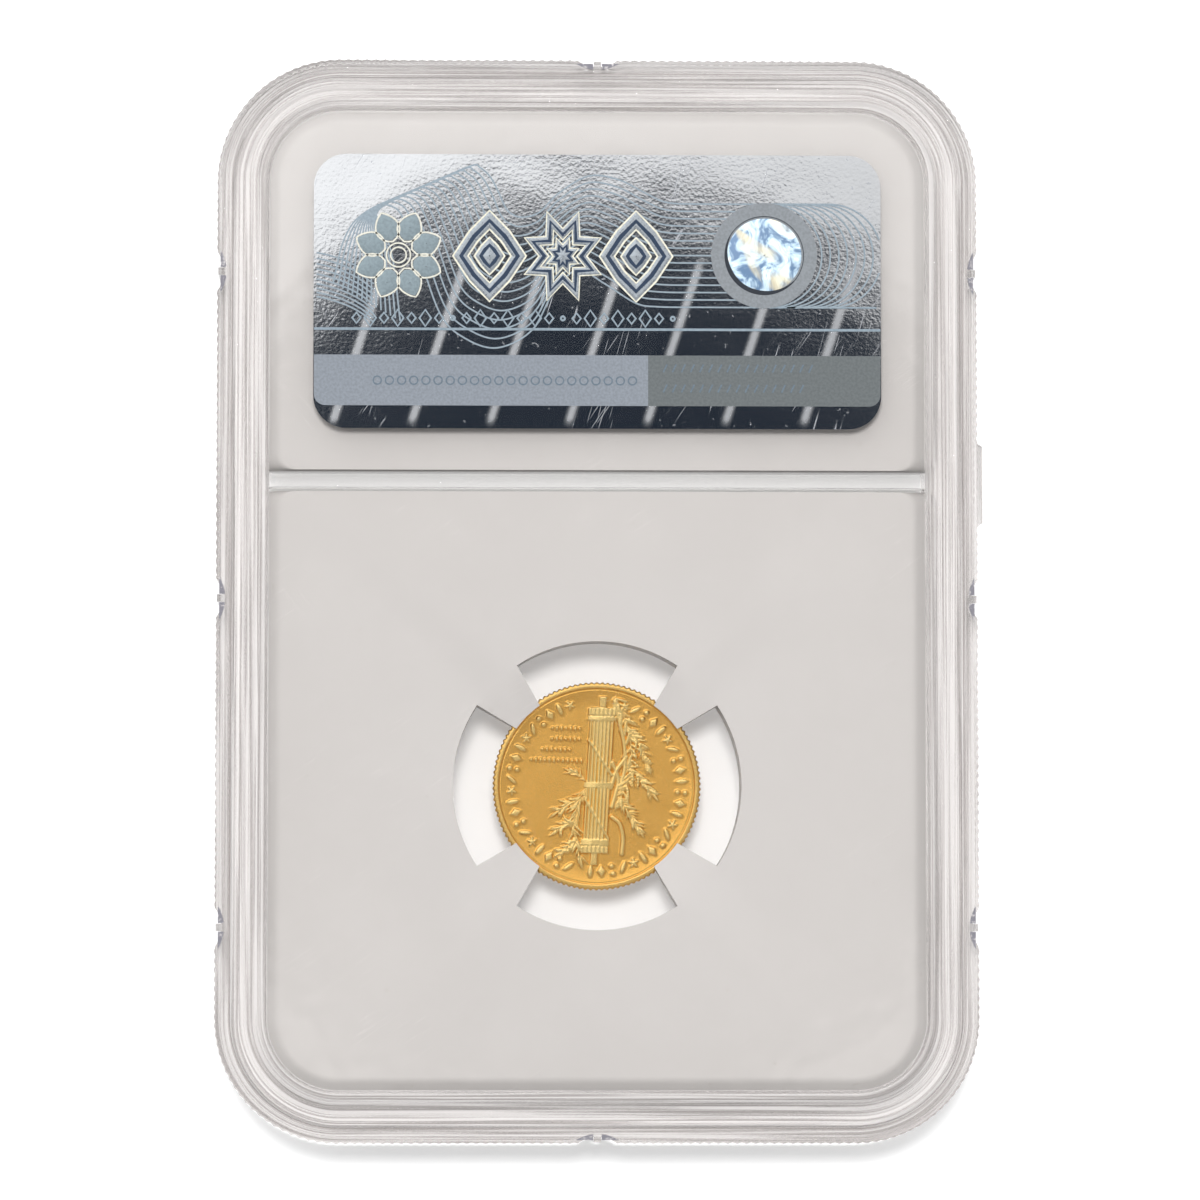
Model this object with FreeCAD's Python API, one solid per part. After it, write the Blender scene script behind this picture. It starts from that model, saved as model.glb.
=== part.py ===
import FreeCAD, Part
import math
import os

# A sealed two-shell holder for one small graded coin, lying flat with its back up.
# X runs across the holder, Y up its length towards the labels and Z through its thickness.
# The coin's reverse and the foil label face +Z; the coin's obverse and the paper label face -Z.
# Every shape is modelled about the holder's centre, with the joint between the two shells at
# Z = 0, then raised so that the lowest face is at Z = 0.

V = FreeCAD.Vector
Z_AXIS = V(0, 0, 1)

# ---- Driving dimensions, in millimetres ----------------------------------------------------

# holder outline
WIDTH = 60.2
LENGTH = 85.7
CORNER_R = 9.8

# half thicknesses, measured from the joint
RIM_Z = 4.0  # raised stacking rim
FLANGE_Z = 3.0  # low flange outside the rim
WINDOW_Z = 3.1  # outer face of the window pane
PANE_IN_Z = 1.9  # inner face of the window pane

# distances in from the holder's edge
FLANGE_W = 1.2
RIM_BEVEL = 0.2
RIM_INNER = 3.9  # where the rim starts to fall to the window
WINDOW_INNER = 4.2  # where it meets the window
CAVITY_INSET = 3.2  # inner wall of the compartments
STACK_GROOVE = (2.3, 2.6)  # fine line pressed into the rim
STACK_GROOVE_DEPTH = 0.12
WELD_TONGUE = (1.6, 2.15)
WELD_TONGUE_H = 1.0
WELD_GAP = 0.1  # round the tongue, inside its groove
SEAM_LIP = 0.6  # width of the fine gap round the outside of the joint
SEAM_GAP = 0.15

# grip pattern round the edge
REED_COUNT = 376
REED_DEPTH = 0.09

# short scoops in the edge, each with a nub in the middle
SCOOP_LENGTH = 3.2
SCOOP_DEPTH = 0.55
NUB_W = 0.6
NUB_BELOW_EDGE = 0.12
SIDE_SCOOP_Y = (-25.9, 0.0, 25.9)

# moulding gate left on one edge
GATE_Y = 9.2
GATE_LENGTH = 7.3
GATE_PROUD = 0.5
GATE_SLOPE = 0.6  # length of each sloping end
GATE_ROOT = 0.4  # how far it runs into the edge
GATE_Z = (0.2, 1.6)

# wall between the coin compartment and the label compartment
DIVIDER_Y = 9.4
DIVIDER_W = 1.04
DIVIDER_CORNER_R = 1.5

# loose parts inside the compartments
INSERT_GAP = 0.25  # all round, at the edge
INSERT_Z = 1.8

# coin and the opening that holds it
COIN_Y = -14.7
COIN_R = 8.25
COIN_RIM_Z = 0.5
COIN_FIELD_Z = 0.35
COIN_FIELD_R = 7.75
COIN_RIM_SLOPE = 0.15
COIN_REEDS = 118
COIN_REED_DEPTH = 0.07
OPENING_R = 11.4
PRONG_W_ROOT = 4.55
PRONG_W_TIP = 2.9
PRONG_TIP_R = 7.8
PRONG_TIP_Z = 1.0
PRONG_FULL_R = 11.2  # prongs reach full thickness here
PRONG_RUN_ON = 0.6  # how far a prong is drawn past both its ends before it is trimmed
COIN_SEAT_GAP = 0.04

# raised designs on the coin
RELIEF_Z = 0.47
RELIEF_ROOT = 0.05  # how far a design runs into the field
COLUMN_W = 2.5
COLUMN_Y = (-5.8, 7.3)
COLUMN_FLUTES = 6
FLUTE_SHARE = 0.84  # of a flute's pitch
FLUTE_BELOW_BANDS = 0.03
BAND_Y = (-4.9, 0.9, 5.9)
BAND_L = 0.6
BAND_OVERHANG = 0.1
STAR_R = 4.4
STAR_INNER_R = 2.2
STAR_POINTS = 8

# labels
FOIL_SIZE = (44.9, 21.8)
FOIL_CORNER_R = 2.6
FOIL_Y = 24.35
FOIL_T = 0.1
PATCH_CENTRE = (13.2, 2.9)  # from the foil label's centre
PATCH_R = 4.2
PATCH_LENS_R = 3.1
PATCH_T = 0.06
PATCH_LENS_T = 0.04
PAPER_SIZE = (49.0, 24.6)
PAPER_CORNER_R = 2.0
PAPER_T = 0.25
PAPER_RECESS = 0.3
PAPER_GAP = 0.2

OVER = 1.0  # how far cutting bodies run past what they cut


# ---- Outlines and plates -------------------------------------------------------------------


def rounded_outline(half_w, y_low, y_high, r_low, r_high, z):
    """Closed wire at one Z: a rectangle with one radius at its low corners and one at its high."""
    corners = [
        (half_w, y_low, r_low, -45),
        (half_w, y_high, r_high, 45),
        (-half_w, y_high, r_high, 135),
        (-half_w, y_low, r_low, 225),
    ]
    arcs = []
    for x, y, r, angle in corners:
        centre_x = x - math.copysign(r, x)
        centre_y = y + (r if y == y_low else -r)
        points = []
        for step in (-45, 0, 45):
            a = math.radians(angle + step)
            points.append(V(centre_x + r * math.cos(a), centre_y + r * math.sin(a), z))
        arcs.append(points)
    edges = []
    for i, (start, middle, end) in enumerate(arcs):
        next_start = arcs[(i + 1) % 4][0]
        edges.append(Part.Arc(start, middle, end).toShape())
        edges.append(Part.makeLine(end, next_start))
    return Part.Wire(edges)


def outline_inset(inset, z):
    """The holder's outline, moved in from its edge."""
    half_l = LENGTH / 2 - inset
    r = CORNER_R - inset
    return rounded_outline(WIDTH / 2 - inset, -half_l, half_l, r, r, z)


def plate(wire, thickness):
    """Solid from a wire at constant Z, grown by thickness along +Z."""
    return Part.Face(wire).extrude(V(0, 0, thickness))


def polygon_plate(points, thickness):
    return plate(Part.makePolygon(points + [points[0]]), thickness)


def inset_plate(inset, z0, z1):
    return plate(outline_inset(inset, z0), z1 - z0)


def inset_ring(outer_inset, inner_inset, z0, z1):
    inside = inset_plate(inner_inset, z0 - OVER, z1 + OVER)
    return inset_plate(outer_inset, z0, z1).cut(inside)


def inset_taper(inset0, z0, inset1, z1):
    """Solid between two of the holder's inset outlines at two heights."""
    return Part.makeLoft([outline_inset(inset0, z0), outline_inset(inset1, z1)], True, True)


def cylinder(x, y, r, z0, z1):
    return Part.makeCylinder(r, z1 - z0, V(x, y, z0), Z_AXIS)


def mirror_z(shape):
    return shape.mirror(V(0, 0, 0), Z_AXIS)


# ---- Shell details -------------------------------------------------------------------------


def edge_point(s, inset, z):
    """Point on the holder's rounded outline at arc length s from the middle of its low end."""
    half_x = WIDTH / 2 - CORNER_R
    half_y = LENGTH / 2 - CORNER_R
    arc = math.pi / 2 * CORNER_R
    r = CORNER_R - inset
    runs = [
        (half_x, 0, -half_y, (1, 0)),
        (2 * half_y, half_x, -half_y, (0, 1)),
        (2 * half_x, half_x, half_y, (-1, 0)),
        (2 * half_y, -half_x, half_y, (0, -1)),
        (half_x, -half_x, -half_y, (1, 0)),
    ]
    for length, x, y, (dx, dy) in runs:
        if s <= length:
            return V(x + dx * s + dy * r, y + dy * s - dx * r, z)
        s -= length
        if s <= arc:
            a = math.atan2(-dx, dy) + s / CORNER_R
            corner_x = x + dx * length
            corner_y = y + dy * length
            return V(corner_x + r * math.cos(a), corner_y + r * math.sin(a), z)
        s -= arc
    return V(0, -half_y - r, z)


def reeded_plate(z0, z1):
    """The holder's outline with fine grip ridges all round its edge."""
    straight = 2 * (WIDTH + LENGTH - 4 * CORNER_R)
    pitch = (straight + 2 * math.pi * CORNER_R) / REED_COUNT
    points = []
    for i in range(REED_COUNT):
        points.append(edge_point(i * pitch, 0, z0))
        points.append(edge_point((i + 0.5) * pitch, REED_DEPTH, z0))
    return polygon_plate(points, z1 - z0)


def edge_scoops():
    """Cutters for the short lens-shaped scoops, each leaving a nub in its middle."""
    half = SCOOP_LENGTH / 2
    r = (half * half + SCOOP_DEPTH * SCOOP_DEPTH) / (2 * SCOOP_DEPTH)
    out = r - SCOOP_DEPTH
    places = [(0, -LENGTH / 2, 0, -1), (0, LENGTH / 2, 0, 1)]
    for y in SIDE_SCOOP_Y:
        places.append((-WIDTH / 2, y, -1, 0))
        places.append((WIDTH / 2, y, 1, 0))
    deep = RIM_Z + OVER
    nub_l = 2 * (SCOOP_DEPTH + OVER)
    to_middle = NUB_BELOW_EDGE + nub_l / 2
    cutters = []
    for x, y, nx, ny in places:
        scoop = cylinder(x + nx * out, y + ny * out, r, -deep, deep)
        size_x = NUB_W if ny else nub_l
        size_y = nub_l if ny else NUB_W
        corner = V(x - nx * to_middle - size_x / 2, y - ny * to_middle - size_y / 2, -deep)
        nub = Part.makeBox(size_x, size_y, 2 * deep, corner)
        cutters.append(scoop.cut(nub))
    return cutters


def compartment(for_labels, grow, z0, z1):
    """One of the two spaces between the shells. grow is negative for a part that fits inside."""
    half_w = WIDTH / 2 - CAVITY_INSET + grow
    outer_r = CORNER_R - CAVITY_INSET + grow
    inner_r = DIVIDER_CORNER_R + grow
    far = LENGTH / 2 - CAVITY_INSET + grow
    if for_labels:
        near = DIVIDER_Y + DIVIDER_W / 2 - grow
        wire = rounded_outline(half_w, near, far, inner_r, outer_r, z0)
    else:
        near = DIVIDER_Y - DIVIDER_W / 2 + grow
        wire = rounded_outline(half_w, -far, near, outer_r, inner_r, z0)
    return plate(wire, z1 - z0)


def half_shell():
    """What both shells share, on the +Z side: flange, raised rim, pane and compartments."""
    bevel_z = RIM_Z - RIM_BEVEL
    shell = reeded_plate(0, FLANGE_Z)
    shell = shell.fuse(inset_plate(FLANGE_W, FLANGE_Z / 2, bevel_z))
    shell = shell.fuse(inset_taper(FLANGE_W, bevel_z, FLANGE_W + RIM_BEVEL, RIM_Z))
    shell = shell.cut(inset_taper(WINDOW_INNER, WINDOW_Z, RIM_INNER, RIM_Z))
    shell = shell.cut(inset_ring(*STACK_GROOVE, RIM_Z - STACK_GROOVE_DEPTH, RIM_Z + OVER))
    for for_labels in (False, True):
        shell = shell.cut(compartment(for_labels, 0, -OVER, PANE_IN_Z))
    for scoop in edge_scoops():
        shell = shell.cut(scoop)
    return shell.removeSplitter()


def gate_tab():
    """The trimmed gate: a low block with sloping ends on the edge, its long side along Y."""
    x0 = WIDTH / 2 - GATE_ROOT
    x1 = WIDTH / 2 + GATE_PROUD
    y0 = GATE_Y - GATE_LENGTH / 2
    y1 = GATE_Y + GATE_LENGTH / 2
    z0, z1 = GATE_Z
    points = [
        V(x0, y0, z0),
        V(x1, y0 + GATE_SLOPE, z0),
        V(x1, y1 - GATE_SLOPE, z0),
        V(x0, y1, z0),
    ]
    return polygon_plate(points, z1 - z0)


def back_shell(blank):
    """Shell on the foil label's side. It takes the weld tongue in a groove."""
    outer, inner = WELD_TONGUE
    groove = inset_ring(outer - WELD_GAP, inner + WELD_GAP, -OVER, WELD_TONGUE_H + WELD_GAP)
    return blank.fuse(gate_tab()).cut(groove)


def front_shell(blank):
    """Shell on the paper label's side, with the weld tongue and the seam's fine gap."""
    seam = inset_ring(-OVER, SEAM_LIP, -SEAM_GAP, OVER)
    tongue = inset_ring(*WELD_TONGUE, -OVER, WELD_TONGUE_H)
    return mirror_z(blank).cut(seam).fuse(tongue)


# ---- Insert and coin -----------------------------------------------------------------------


def prong():
    """One holding prong, from the +X side of the opening towards the coin's centre."""
    slope = (PRONG_W_ROOT - PRONG_W_TIP) / (OPENING_R - COIN_R) / 2
    root_r = OPENING_R + PRONG_RUN_ON
    tip_r = PRONG_TIP_R - PRONG_RUN_ON
    half_root = PRONG_W_ROOT / 2 + slope * (root_r - OPENING_R)
    half_tip = PRONG_W_TIP / 2 - slope * (COIN_R - tip_r)
    points = [
        V(root_r, -half_root, -INSERT_Z),
        V(root_r, half_root, -INSERT_Z),
        V(tip_r, half_tip, -INSERT_Z),
        V(tip_r, -half_tip, -INSERT_Z),
    ]
    return polygon_plate(points, 2 * INSERT_Z)


def prong_dish():
    """Round cutter that thins the prongs towards the coin, on the +Z side."""
    points = [
        V(0, 0, PRONG_TIP_Z),
        V(PRONG_TIP_R, 0, PRONG_TIP_Z),
        V(PRONG_FULL_R, 0, INSERT_Z),
        V(PRONG_FULL_R, 0, INSERT_Z + OVER),
        V(0, 0, INSERT_Z + OVER),
    ]
    section = Part.Face(Part.makePolygon(points + [points[0]]))
    return section.revolve(V(0, 0, 0), Z_AXIS, 360)


def coin_insert():
    """White core of the coin compartment: a round opening with four prongs at its diagonals."""
    through = INSERT_Z + OVER
    seat_z = COIN_RIM_Z + COIN_SEAT_GAP
    opening = cylinder(0, 0, OPENING_R, -through, through)
    seat = cylinder(0, 0, COIN_R + COIN_SEAT_GAP, -seat_z, seat_z)
    throat = cylinder(0, 0, PRONG_TIP_R, -through, through)
    dish = prong_dish()
    core = compartment(False, -INSERT_GAP, -INSERT_Z, INSERT_Z)
    core.translate(V(0, -COIN_Y, 0))
    core = core.cut(opening)
    for angle in (45, 135, 225, 315):
        arm = prong()
        for cutter in (seat, throat, dish, mirror_z(dish)):
            arm = arm.cut(cutter)
        arm.rotate(V(0, 0, 0), Z_AXIS, angle)
        core = core.fuse(arm)
    core = core.removeSplitter()
    core.translate(V(0, COIN_Y, 0))
    return core


def coin_blank():
    """Reeded disc with a raised rim round a lower field on both faces."""
    points = []
    for i in range(COIN_REEDS):
        for part, r in ((0, COIN_R), (0.5, COIN_R - COIN_REED_DEPTH)):
            a = 2 * math.pi * (i + part) / COIN_REEDS
            points.append(V(r * math.cos(a), r * math.sin(a), -COIN_RIM_Z))
    disc = polygon_plate(points, 2 * COIN_RIM_Z)
    depth = COIN_RIM_Z - COIN_FIELD_Z
    floor_r = COIN_FIELD_R - COIN_RIM_SLOPE
    dish = Part.makeCone(floor_r, COIN_FIELD_R, depth, V(0, 0, COIN_FIELD_Z), Z_AXIS)
    return disc.cut(dish).cut(mirror_z(dish))


def column_relief():
    """Fluted column with cross bands, upside down as the coin's reverse sits in the holder."""
    y0, y1 = COLUMN_Y
    low_z = COIN_FIELD_Z - RELIEF_ROOT
    flute_pitch = COLUMN_W / COLUMN_FLUTES
    flute_w = FLUTE_SHARE * flute_pitch
    flute_h = RELIEF_Z - FLUTE_BELOW_BANDS - low_z
    pieces = []
    for i in range(COLUMN_FLUTES):
        x = -COLUMN_W / 2 + (i + 0.5) * flute_pitch - flute_w / 2
        pieces.append(Part.makeBox(flute_w, y1 - y0, flute_h, V(x, y0, low_z)))
    band_w = COLUMN_W + 2 * BAND_OVERHANG
    for y in BAND_Y:
        corner = V(-band_w / 2, y - BAND_L / 2, low_z)
        pieces.append(Part.makeBox(band_w, BAND_L, RELIEF_Z - low_z, corner))
    return pieces


def star_relief():
    """Plain star on the obverse."""
    points = []
    for i in range(2 * STAR_POINTS):
        r = STAR_INNER_R if i % 2 else STAR_R
        a = math.pi / 2 + math.pi * i / STAR_POINTS
        points.append(V(r * math.cos(a), r * math.sin(a), -RELIEF_Z))
    return polygon_plate(points, RELIEF_Z - COIN_FIELD_Z + RELIEF_ROOT)


def coin():
    shape = coin_blank()
    for piece in column_relief() + [star_relief()]:
        shape = shape.fuse(piece)
    shape.translate(V(0, COIN_Y, 0))
    return shape


# ---- Labels --------------------------------------------------------------------------------


def label_plate(size, corner_r, z0, z1):
    """Rounded plate centred on the place of both labels."""
    half_l = size[1] / 2
    y0 = FOIL_Y - half_l
    y1 = FOIL_Y + half_l
    return plate(rounded_outline(size[0] / 2, y0, y1, corner_r, corner_r, z0), z1 - z0)


def label_carrier():
    """White block in the label compartment, with a shallow tray below for the paper label."""
    tray_size = (PAPER_SIZE[0] + 2 * PAPER_GAP, PAPER_SIZE[1] + 2 * PAPER_GAP)
    tray_r = PAPER_CORNER_R + PAPER_GAP
    tray = label_plate(tray_size, tray_r, -INSERT_Z - OVER, -INSERT_Z + PAPER_RECESS)
    return compartment(True, -INSERT_GAP, -INSERT_Z, INSERT_Z).cut(tray)


def grading_label():
    top = -INSERT_Z + PAPER_RECESS
    return label_plate(PAPER_SIZE, PAPER_CORNER_R, top - PAPER_T, top)


def hologram_label():
    return label_plate(FOIL_SIZE, FOIL_CORNER_R, WINDOW_Z, WINDOW_Z + FOIL_T)


def seal_patch():
    """Round patch on the foil label: a ring round a slightly lower lens."""
    x = PATCH_CENTRE[0]
    y = FOIL_Y + PATCH_CENTRE[1]
    z = WINDOW_Z + FOIL_T
    disc = cylinder(x, y, PATCH_R, z, z + PATCH_T)
    dip = cylinder(x, y, PATCH_LENS_R, z + PATCH_LENS_T, z + PATCH_T + OVER)
    return disc.cut(dip)


# ---- Build and save ------------------------------------------------------------------------


def main():
    blank = half_shell()
    nodes = {
        "back_shell": back_shell(blank),
        "front_shell": front_shell(blank),
        "coin_insert": coin_insert(),
        "coin": coin(),
        "label_carrier": label_carrier(),
        "grading_label": grading_label(),
        "hologram_label": hologram_label(),
        "seal_patch": seal_patch(),
    }
    os.makedirs("parts", exist_ok=True)
    for name, shape in nodes.items():
        shape.translate(V(0, 0, RIM_Z))
        box = shape.BoundBox
        print(f"{name}: {len(shape.Solids)} solid, {shape.Volume:.1f} mm3, valid {shape.isValid()}")
        print(f"  X {box.XMin:.2f}..{box.XMax:.2f}  Y {box.YMin:.2f}..{box.YMax:.2f}", end="")
        print(f"  Z {box.ZMin:.2f}..{box.ZMax:.2f}")
        shape.exportStep(f"parts/{name}.step")


main()
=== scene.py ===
import bmesh
import bpy
import math
import mathutils.geometry
import random
import numpy as np
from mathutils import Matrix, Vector


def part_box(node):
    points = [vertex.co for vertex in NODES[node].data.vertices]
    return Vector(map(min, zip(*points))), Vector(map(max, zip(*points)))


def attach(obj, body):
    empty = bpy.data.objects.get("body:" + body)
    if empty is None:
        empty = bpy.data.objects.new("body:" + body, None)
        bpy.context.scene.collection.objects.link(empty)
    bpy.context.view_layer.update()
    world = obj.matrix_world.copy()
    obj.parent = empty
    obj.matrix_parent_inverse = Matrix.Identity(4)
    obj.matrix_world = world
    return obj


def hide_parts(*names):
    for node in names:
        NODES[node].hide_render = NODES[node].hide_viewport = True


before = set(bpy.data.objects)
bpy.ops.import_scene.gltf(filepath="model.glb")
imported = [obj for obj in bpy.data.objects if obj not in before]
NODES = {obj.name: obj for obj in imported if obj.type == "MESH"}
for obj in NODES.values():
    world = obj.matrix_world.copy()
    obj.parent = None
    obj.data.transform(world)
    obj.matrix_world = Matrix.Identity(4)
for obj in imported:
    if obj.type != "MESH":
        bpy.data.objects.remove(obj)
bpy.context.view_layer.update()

MM = 0.001

# ---- Places and sizes taken from the frame, in millimetres ----


def node_box(node):
    low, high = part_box(node)
    return np.array(low) / MM, np.array(high) / MM


COIN_LOW, COIN_HIGH = node_box("coin")
COIN_CENTRE = (COIN_LOW + COIN_HIGH) / 2
COIN_R = (COIN_HIGH[0] - COIN_LOW[0]) / 2
COIN_HALF_T = (COIN_HIGH[2] - COIN_LOW[2]) / 2

FOIL_LOW, FOIL_HIGH = node_box("hologram_label")
FOIL_CENTRE = (FOIL_LOW + FOIL_HIGH) / 2
FOIL_HALF = (FOIL_HIGH - FOIL_LOW) / 2
FOIL_TOP = FOIL_HIGH[2]

PATCH_LOW, PATCH_HIGH = node_box("seal_patch")
PATCH_CENTRE = (PATCH_LOW + PATCH_HIGH) / 2

PAPER_LOW, PAPER_HIGH = node_box("grading_label")
PAPER_CENTRE = (PAPER_LOW + PAPER_HIGH) / 2
PAPER_HALF = (PAPER_HIGH - PAPER_LOW) / 2

SHELL_LOW, SHELL_HIGH = node_box("front_shell")
HOLDER_HALF = (SHELL_HIGH - SHELL_LOW) / 2
HOLDER_CORNER = 9.8
RIM_WIDTH = 4.2  # from the outline to the window

DIVIDER_Y = 9.4  # middle of the clear rib between the two compartments
DIVIDER_HALF = 0.7

INK_LIFT = 0.008  # how far flat ink lies above its sheet
HAIR = 0.01  # how far each shell is drawn in, so that faces which touch don't coincide
WELD = 0.0002  # vertices of one CAD mesh closer than this are merged


# ---- Small mesh tools ----


def place(name, data):
    """Puts a new object in the scene."""
    obj = bpy.data.objects.new(name, data)
    bpy.context.scene.collection.objects.link(obj)
    return obj


class Build:
    """Collects vertices in millimetres and faces with a material number, then makes one piece."""

    def __init__(self):
        self.verts = []
        self.faces = []
        self.slots = []

    def add(self, verts, faces, slot=0):
        start = len(self.verts)
        self.verts.extend(tuple(v) for v in verts)
        for face in faces:
            self.faces.append(tuple(start + i for i in face))
            self.slots.append(slot)

    def strip(self, points, width, z, slot=0, closed=False):
        """Flat line of constant width through 2-D points."""
        p = np.asarray(points, float)
        if closed:
            ahead = np.roll(p, -1, axis=0)
            behind = np.roll(p, 1, axis=0)
        else:
            ahead = np.vstack([p[1:], 2 * p[-1:] - p[-2:-1]])
            behind = np.vstack([2 * p[:1] - p[1:2], p[:-1]])
        along = ahead - behind
        along /= np.maximum(np.linalg.norm(along, axis=1, keepdims=True), 1e-9)
        side = np.stack([-along[:, 1], along[:, 0]], axis=1) * width / 2
        n = len(p)
        left = [(x, y, z) for x, y in p + side]
        right = [(x, y, z) for x, y in p - side]
        last = n if closed else n - 1
        faces = [(i, i + n, (i + 1) % n + n, (i + 1) % n) for i in range(last)]
        self.add(left + right, faces, slot)

    def fill(self, points, z, slot=0):
        """Flat polygon."""
        verts = [(x, y, z) for x, y in points]
        self.add(verts, [tuple(range(len(verts)))], slot)

    def band(self, loops, slot=0):
        """Quads between closed loops of equally many 3-D points."""
        n = len(loops[0])
        verts = [v for loop in loops for v in loop]
        faces = []
        for k in range(len(loops) - 1):
            for i in range(n):
                j = (i + 1) % n
                faces.append((k * n + i, k * n + j, (k + 1) * n + j, (k + 1) * n + i))
        self.add(verts, faces, slot)

    def mesh(self, name, materials):
        mesh = bpy.data.meshes.new(name)
        mesh.from_pydata([tuple(c * MM for c in v) for v in self.verts], [], self.faces)
        for material in materials:
            mesh.materials.append(material)
        mesh.polygons.foreach_set("material_index", self.slots)
        return mesh

    def piece(self, name, materials, record_slot, smooth=False):
        mesh = self.mesh(name, materials)
        mesh.polygons.foreach_set("use_smooth", [smooth] * len(self.faces))
        mesh.update()
        obj = place(name, mesh)
        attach(obj, "root")
        return obj


def smooth_curve(points, steps=14):
    """Catmull-Rom curve through a few 2-D points."""
    p = np.asarray(points, float)
    p = np.vstack([2 * p[0] - p[1], p, 2 * p[-1] - p[-2]])
    out = []
    for i in range(1, len(p) - 2):
        for t in np.linspace(0, 1, steps, endpoint=False):
            a = 2 * p[i]
            b = p[i + 1] - p[i - 1]
            c = 2 * p[i - 1] - 5 * p[i] + 4 * p[i + 1] - p[i + 2]
            d = -p[i - 1] + 3 * p[i] - 3 * p[i + 1] + p[i + 2]
            out.append(0.5 * (a + b * t + c * t * t + d * t * t * t))
    out.append(p[-2])
    return np.array(out)


def circle(x, y, r, n=64):
    a = np.linspace(0, 2 * math.pi, n, endpoint=False)
    return np.stack([x + r * np.cos(a), y + r * np.sin(a)], axis=1)


# ---- Material tools ----


class Shader:
    """A few shorthands for building one material's node tree."""

    def __init__(self, name):
        self.material = bpy.data.materials.new(name)
        self.material.use_nodes = True
        self.tree = self.material.node_tree
        self.tree.nodes.clear()
        self.out = self.node("OutputMaterial")
        coords = self.node("TexCoord")
        scale = self.node("VectorMath")
        scale.operation = "SCALE"
        scale.inputs["Scale"].default_value = 1 / MM
        self.tree.links.new(coords.outputs["Object"], scale.inputs[0])
        self.mm = scale.outputs[0]  # place on the object in millimetres

    def node(self, kind):
        return self.tree.nodes.new("ShaderNode" + kind)

    def put(self, socket, value):
        if isinstance(value, bpy.types.NodeSocket):
            self.tree.links.new(value, socket)
        else:
            socket.default_value = value

    def principled(self, **values):
        node = self.node("BsdfPrincipled")
        for key, value in values.items():
            self.put(node.inputs[key.replace("_", " ")], value)
        return node

    def finish(self, shader):
        self.tree.links.new(shader, self.out.inputs["Surface"])
        return self.material

    def math(self, operation, *values, clamp=False):
        node = self.node("Math")
        node.operation = operation
        node.use_clamp = clamp
        for socket, value in zip(node.inputs, values):
            self.put(socket, value)
        return node.outputs[0]

    def times(self, a, b):
        return self.math("MULTIPLY", a, b)

    def ramp(self, value, low, high, to_low=0.0, to_high=1.0):
        """Smooth step of value from low to high."""
        node = self.node("MapRange")
        node.interpolation_type = "SMOOTHSTEP"
        for socket, v in zip(node.inputs, (value, low, high, to_low, to_high)):
            self.put(socket, v)
        return node.outputs[0]

    def mix(self, factor, a, b):
        node = self.node("Mix")
        node.data_type = "RGBA"
        self.put(node.inputs["Factor"], factor)
        self.put(node.inputs["A"], a)
        self.put(node.inputs["B"], b)
        return node.outputs["Result"]

    def placed(self, turn=0.0, stretch=(1, 1, 1)):
        """Coordinates in millimetres, turned about Z in degrees and then stretched."""
        node = self.node("Mapping")
        node.vector_type = "TEXTURE"
        node.inputs["Rotation"].default_value = (0, 0, math.radians(turn))
        node.inputs["Scale"].default_value = stretch
        self.put(node.inputs["Vector"], self.mm)
        return node.outputs[0]

    def noise(self, scale, detail=2.0, roughness=0.5, distortion=0.0, vector=None):
        node = self.node("TexNoise")
        self.put(node.inputs["Vector"], vector or self.mm)
        node.inputs["Scale"].default_value = scale
        node.inputs["Detail"].default_value = detail
        node.inputs["Roughness"].default_value = roughness
        node.inputs["Distortion"].default_value = distortion
        return node.outputs["Fac"]

    def bump(self, height, distance, strength=1.0, under=None):
        """Normal from a height that runs 0 to 1 over distance in millimetres."""
        node = self.node("Bump")
        node.inputs["Distance"].default_value = distance * MM
        node.inputs["Strength"].default_value = strength
        self.put(node.inputs["Height"], height)
        if under is not None:
            self.put(node.inputs["Normal"], under)
        return node.outputs[0]

    def scratches(self, turn, shift, threshold=0.75):
        """Sparse fine hairlines: a noise stretched along one direction and kept in patches."""
        stretched_place = self.placed(turn, (4.0 + shift, 0.1, 1.0))
        lines = self.ramp(self.noise(1.0, 0.0, vector=stretched_place), threshold, threshold + 0.03)
        patches = self.ramp(self.noise(0.21 + 0.01 * shift), 0.5, 0.62)
        return self.times(lines, patches)

    def vector_math(self, operation, a, b):
        node = self.node("VectorMath")
        node.operation = operation
        self.put(node.inputs[0], a)
        self.put(node.inputs[1], b)
        return node.outputs["Value"] if operation == "LENGTH" else node.outputs[0]

    def inset(self):
        """Distance in from the holder's rounded outline, in millimetres."""
        flat = self.vector_math("MULTIPLY", self.mm, (1, 1, 0))
        reach = self.vector_math("ABSOLUTE", flat, (0, 0, 0))
        core = (HOLDER_HALF[0] - HOLDER_CORNER, HOLDER_HALF[1] - HOLDER_CORNER, 0)
        past = self.vector_math("SUBTRACT", reach, core)
        past = self.vector_math("MAXIMUM", past, (0, 0, 0))
        return self.math("SUBTRACT", HOLDER_CORNER, self.vector_math("LENGTH", past, (0, 0, 0)))

    def flatness(self):
        """1 on faces that look up or down, 0 on walls."""
        geometry = self.node("NewGeometry")
        split = self.node("SeparateXYZ")
        self.put(split.inputs[0], geometry.outputs["Normal"])
        return self.ramp(self.math("ABSOLUTE", split.outputs[2]), 0.1, 0.8)

    def along_rim(self, scale, inset):
        """Noise in fine lines that run round with the outline."""
        node = self.node("TexNoise")
        node.noise_dimensions = "4D"
        faint = self.vector_math("MULTIPLY", self.mm, (0.05, 0.05, 0.05))
        self.put(node.inputs["Vector"], faint)
        self.put(node.inputs["W"], self.times(inset, scale))
        node.inputs["Scale"].default_value = 1.0
        node.inputs["Detail"].default_value = 2.0
        return node.outputs["Fac"]

    def axis(self, index):
        node = self.node("SeparateXYZ")
        self.put(node.inputs[0], self.mm)
        return node.outputs[index]


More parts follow.
